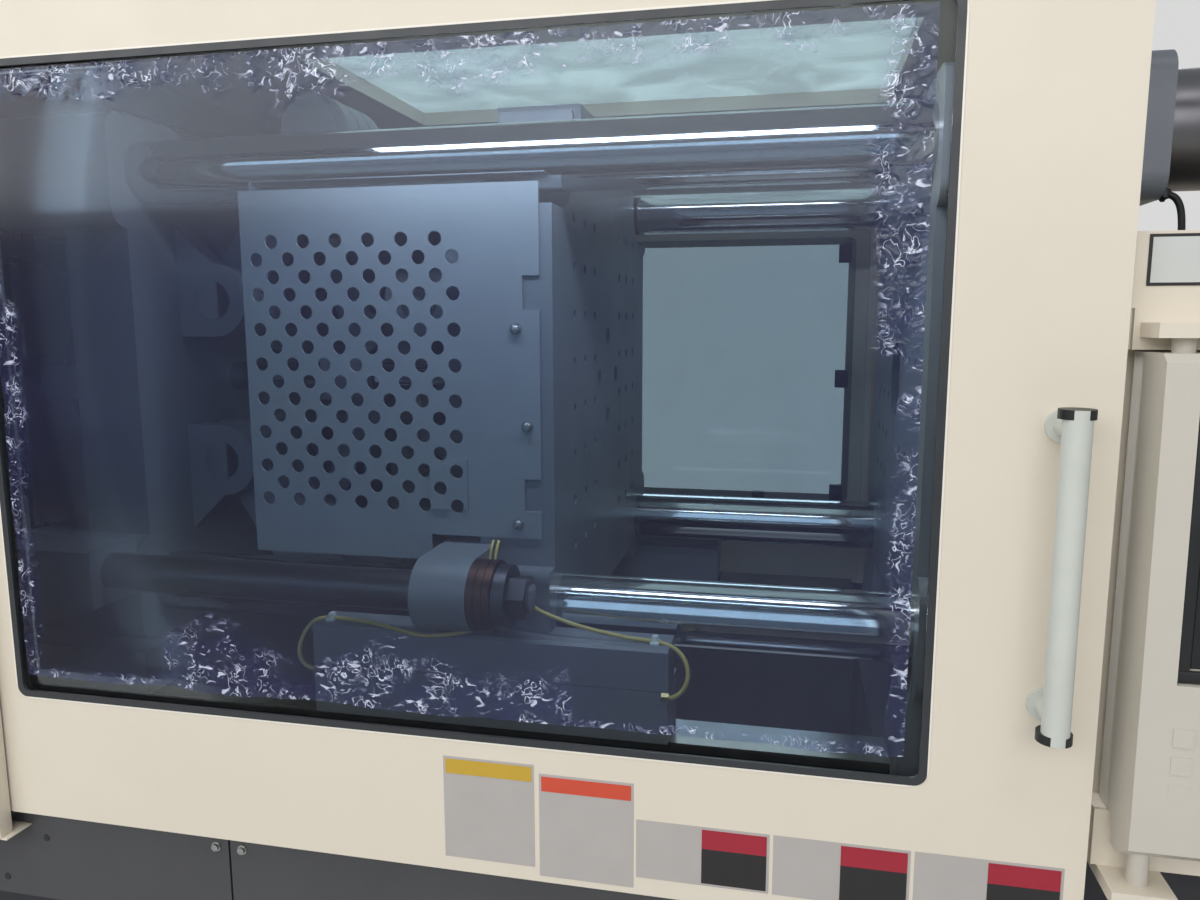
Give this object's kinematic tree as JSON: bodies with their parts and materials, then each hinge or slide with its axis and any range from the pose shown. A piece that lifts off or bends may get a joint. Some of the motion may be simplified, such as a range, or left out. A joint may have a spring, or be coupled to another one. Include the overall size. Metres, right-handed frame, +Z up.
{
  "type": "injection moulding machine",
  "caption": "Horizontal injection moulding machine with a toggle clamp behind sliding safety doors, platens on tie bars, a screw injection unit, a hopper and a control panel.",
  "frame": {"origin": "centre of the base's footprint on the floor", "axes": "+X along the machine to the injection end, +Y from the operator's side into the machine, +Z up"},
  "size_m": [5.2, 1.36, 1.9293],
  "materials": {
    "machine_paint": "satin paint on cast iron",
    "dark_paint": "fine textured paint",
    "cream_paint": "semi-gloss paint on sheet steel",
    "grey_paint": "satin paint",
    "steel": "ground",
    "black_steel": "blackened",
    "chrome": "hard chromed",
    "copper_ring": "dull",
    "aluminium": "anodised",
    "bright_sheet": "brushed sheet",
    "rubber": "matt",
    "clear_panel": "clear, polished",
    "blue_film": "thin blue protective film",
    "tube": "clear amber tube",
    "grey_plastic": "fine grained",
    "black_plastic": "fine grained",
    "red_plastic": "moulded",
    "barrel_steel": "heat darkened"
  },
  "bodies": {
    "frame": {"clamp_base": "dark_paint", "injection_base": "dark_paint", "levelling_pads": "black_steel", "base_panels": "dark_paint", "platen_rails": "steel", "fixed_platen": "machine_paint", "tie_bars": "chrome", "tie_bar_nuts": "black_steel", "guard_frame": "dark_paint", "roof_cover": "cream_paint", "roof_window": "clear_panel", "left_covers": "cream_paint", "right_frame": "cream_paint", "control_cabinet": "cream_paint"},
    "tailstock": {"tailstock": "machine_paint", "height_sprockets": "black_steel", "tail_rods": "chrome", "clamp_motor": "grey_paint", "clamp_belt": "rubber"},
    "moving_platen": {"moving_platen": "machine_paint", "front_pins": "steel", "ejector_drive": "grey_paint", "side_guard": "machine_paint", "stopper_rod": "steel", "stopper_rings": "copper_ring", "slide_shoes": "machine_paint", "grease_tubes": "tube"},
    "front_door": {"front_door": "cream_paint", "front_window": "clear_panel", "front_gasket": "rubber", "window_film": "blue_film", "front_handle": "grey_plastic"},
    "rear_door": {"rear_door": "cream_paint", "rear_window": "clear_panel"},
    "carriage": {"carriage": "machine_paint", "barrel": "barrel_steel", "injection_cover": "cream_paint", "hopper": "bright_sheet"},
    "upper_rear_links": {"upper_rear_links": "machine_paint"},
    "lower_rear_links": {"lower_rear_links": "machine_paint"},
    "upper_front_links": {"upper_front_links": "machine_paint"},
    "lower_front_links": {"lower_front_links": "machine_paint"},
    "upper_short_links": {"upper_short_links": "machine_paint"},
    "lower_short_links": {"lower_short_links": "machine_paint"},
    "crosshead": {"crosshead": "machine_paint"},
    "drive_pulley": {"drive_pulley": "aluminium"},
    "ejector_plate": {"ejector_plate": "steel"},
    "stopper_pawl": {"stopper_pawl": "steel"},
    "operator_panel": {"operator_panel": "grey_paint"},
    "stop_button": {"stop_button": "red_plastic"},
    "clamp_lever": {"clamp_lever": "black_plastic"},
    "left_cabinet_door": {"left_cabinet_door": "cream_paint"},
    "right_cabinet_door": {"right_cabinet_door": "cream_paint"},
    "injection_screw": {"injection_screw": "chrome"},
    "pusher_plate": {"pusher_plate": "machine_paint"},
    "front_ball_screw": {"front_ball_screw": "steel"},
    "rear_ball_screw": {"rear_ball_screw": "steel"},
    "purge_guard": {"purge_guard": "cream_paint"},
    "hopper_lid": {"hopper_lid": "bright_sheet"},
    "hopper_gate": {"hopper_gate": "steel"}
  },
  "joints": [
    {"name": "mould_height", "type": "slide", "parent": "frame", "child": "tailstock", "axis": [-1, 0, 0], "range_m": [0, 0.25]},
    {"name": "clamp_close", "type": "slide", "parent": "tailstock", "child": "moving_platen", "axis": [1, 0, 0], "range_m": [0, 0.285]},
    {"name": "crosshead_slide", "type": "slide", "parent": "tailstock", "child": "crosshead", "axis": [1, 0, 0], "range_m": [0, 0.177]},
    {"name": "upper_rear_fold", "type": "hinge", "parent": "tailstock", "child": "upper_rear_links", "pos_m": [-1.32, 0, 1.31], "axis": [0, 1, 0], "range_deg": [0, 57.4]},
    {"name": "lower_rear_fold", "type": "hinge", "parent": "tailstock", "child": "lower_rear_links", "pos_m": [-1.32, 0, 1.05], "axis": [0, 1, 0], "range_deg": [-57.4, 0]},
    {"name": "upper_front_fold", "type": "hinge", "parent": "moving_platen", "child": "upper_front_links", "pos_m": [-0.985, 0, 1.31], "axis": [0, 1, 0], "range_deg": [-57.4, 0]},
    {"name": "lower_front_fold", "type": "hinge", "parent": "moving_platen", "child": "lower_front_links", "pos_m": [-0.985, 0, 1.05], "axis": [0, 1, 0], "range_deg": [0, 57.4]},
    {"name": "upper_short_fold", "type": "hinge", "parent": "upper_rear_links", "child": "upper_short_links", "pos_m": [-1.23895, 0, 1.43622], "axis": [0, 1, 0], "range_deg": [-106.5, 0]},
    {"name": "lower_short_fold", "type": "hinge", "parent": "lower_rear_links", "child": "lower_short_links", "pos_m": [-1.23895, 0, 0.92378], "axis": [0, 1, 0], "range_deg": [0, 106.5]},
    {"name": "clamp_screw_turn", "type": "hinge", "parent": "tailstock", "child": "drive_pulley", "pos_m": [-1.65, 0, 1.18], "axis": [1, 0, 0], "continuous": true},
    {"name": "ejector_stroke", "type": "slide", "parent": "moving_platen", "child": "ejector_plate", "axis": [1, 0, 0], "range_m": [0, 0.1]},
    {"name": "pawl_lift", "type": "hinge", "parent": "tailstock", "child": "stopper_pawl", "pos_m": [-1.562, -0.45, 0.995], "axis": [0, 1, 0], "range_deg": [0, 35]},
    {"name": "front_door_slide", "type": "slide", "parent": "frame", "child": "front_door", "axis": [-1, 0, 0], "range_m": [0, 0.9]},
    {"name": "rear_door_slide", "type": "slide", "parent": "frame", "child": "rear_door", "axis": [-1, 0, 0], "range_m": [0, 0.9]},
    {"name": "panel_swivel", "type": "hinge", "parent": "frame", "child": "operator_panel", "pos_m": [-0.049, -0.624, 1], "axis": [0, 0, 1], "range_deg": [-30, 0]},
    {"name": "stop_press", "type": "slide", "parent": "operator_panel", "child": "stop_button", "axis": [0, 1, 0], "range_m": [0, 0.004], "stiffness_N_per_m": 400},
    {"name": "lever_turn", "type": "hinge", "parent": "frame", "child": "clamp_lever", "pos_m": [-0.049, -0.624, 0.69], "axis": [0, 0, 1], "range_deg": [-45, 45]},
    {"name": "left_cabinet_swing", "type": "hinge", "parent": "frame", "child": "left_cabinet_door", "pos_m": [0.508, -0.62, 0.5], "axis": [0, 0, 1], "range_deg": [-110, 0]},
    {"name": "right_cabinet_swing", "type": "hinge", "parent": "frame", "child": "right_cabinet_door", "pos_m": [2.592, -0.62, 0.5], "axis": [0, 0, 1], "range_deg": [0, 110]},
    {"name": "carriage_slide", "type": "slide", "parent": "frame", "child": "carriage", "axis": [1, 0, 0], "range_m": [0, 0.3]},
    {"name": "screw_push", "type": "slide", "parent": "carriage", "child": "pusher_plate", "axis": [1, 0, 0], "range_m": [0, 0.2]},
    {"name": "front_ball_turn", "type": "hinge", "parent": "carriage", "child": "front_ball_screw", "pos_m": [1.7, -0.2, 1.18], "axis": [1, 0, 0], "continuous": true},
    {"name": "rear_ball_turn", "type": "hinge", "parent": "carriage", "child": "rear_ball_screw", "pos_m": [1.7, 0.2, 1.18], "axis": [1, 0, 0], "continuous": true},
    {"name": "metering_turn", "type": "hinge", "parent": "pusher_plate", "child": "injection_screw", "pos_m": [0.5, 0, 1.18], "axis": [1, 0, 0], "continuous": true},
    {"name": "hopper_lid_swing", "type": "hinge", "parent": "carriage", "child": "hopper_lid", "pos_m": [0.976, 0.216, 1.8903], "axis": [1, 0, 0], "range_deg": [-100, 0]},
    {"name": "hopper_gate_slide", "type": "slide", "parent": "carriage", "child": "hopper_gate", "axis": [1, 0, 0], "range_m": [0, 0.1]},
    {"name": "purge_guard_swing", "type": "hinge", "parent": "frame", "child": "purge_guard", "pos_m": [0.19, 0.25, 1.048], "axis": [1, 0, 0], "range_deg": [-33, 0]}
  ],
  "couplings": [
    {"joint": "crosshead_slide", "follows": "clamp_close", "ratio": 0.6196},
    {"joint": "upper_rear_fold", "follows": "clamp_close", "rad_per_m": 3.5087},
    {"joint": "lower_rear_fold", "follows": "clamp_close", "rad_per_m": -3.5087},
    {"joint": "upper_front_fold", "follows": "clamp_close", "rad_per_m": -3.5087},
    {"joint": "lower_front_fold", "follows": "clamp_close", "rad_per_m": 3.5087},
    {"joint": "upper_short_fold", "follows": "clamp_close", "rad_per_m": -6.5098},
    {"joint": "lower_short_fold", "follows": "clamp_close", "rad_per_m": 6.5098},
    {"joint": "clamp_screw_turn", "follows": "clamp_close", "rad_per_m": 194.65},
    {"joint": "front_ball_turn", "follows": "screw_push", "rad_per_m": 392.7},
    {"joint": "rear_ball_turn", "follows": "screw_push", "rad_per_m": 392.7}
  ]
}
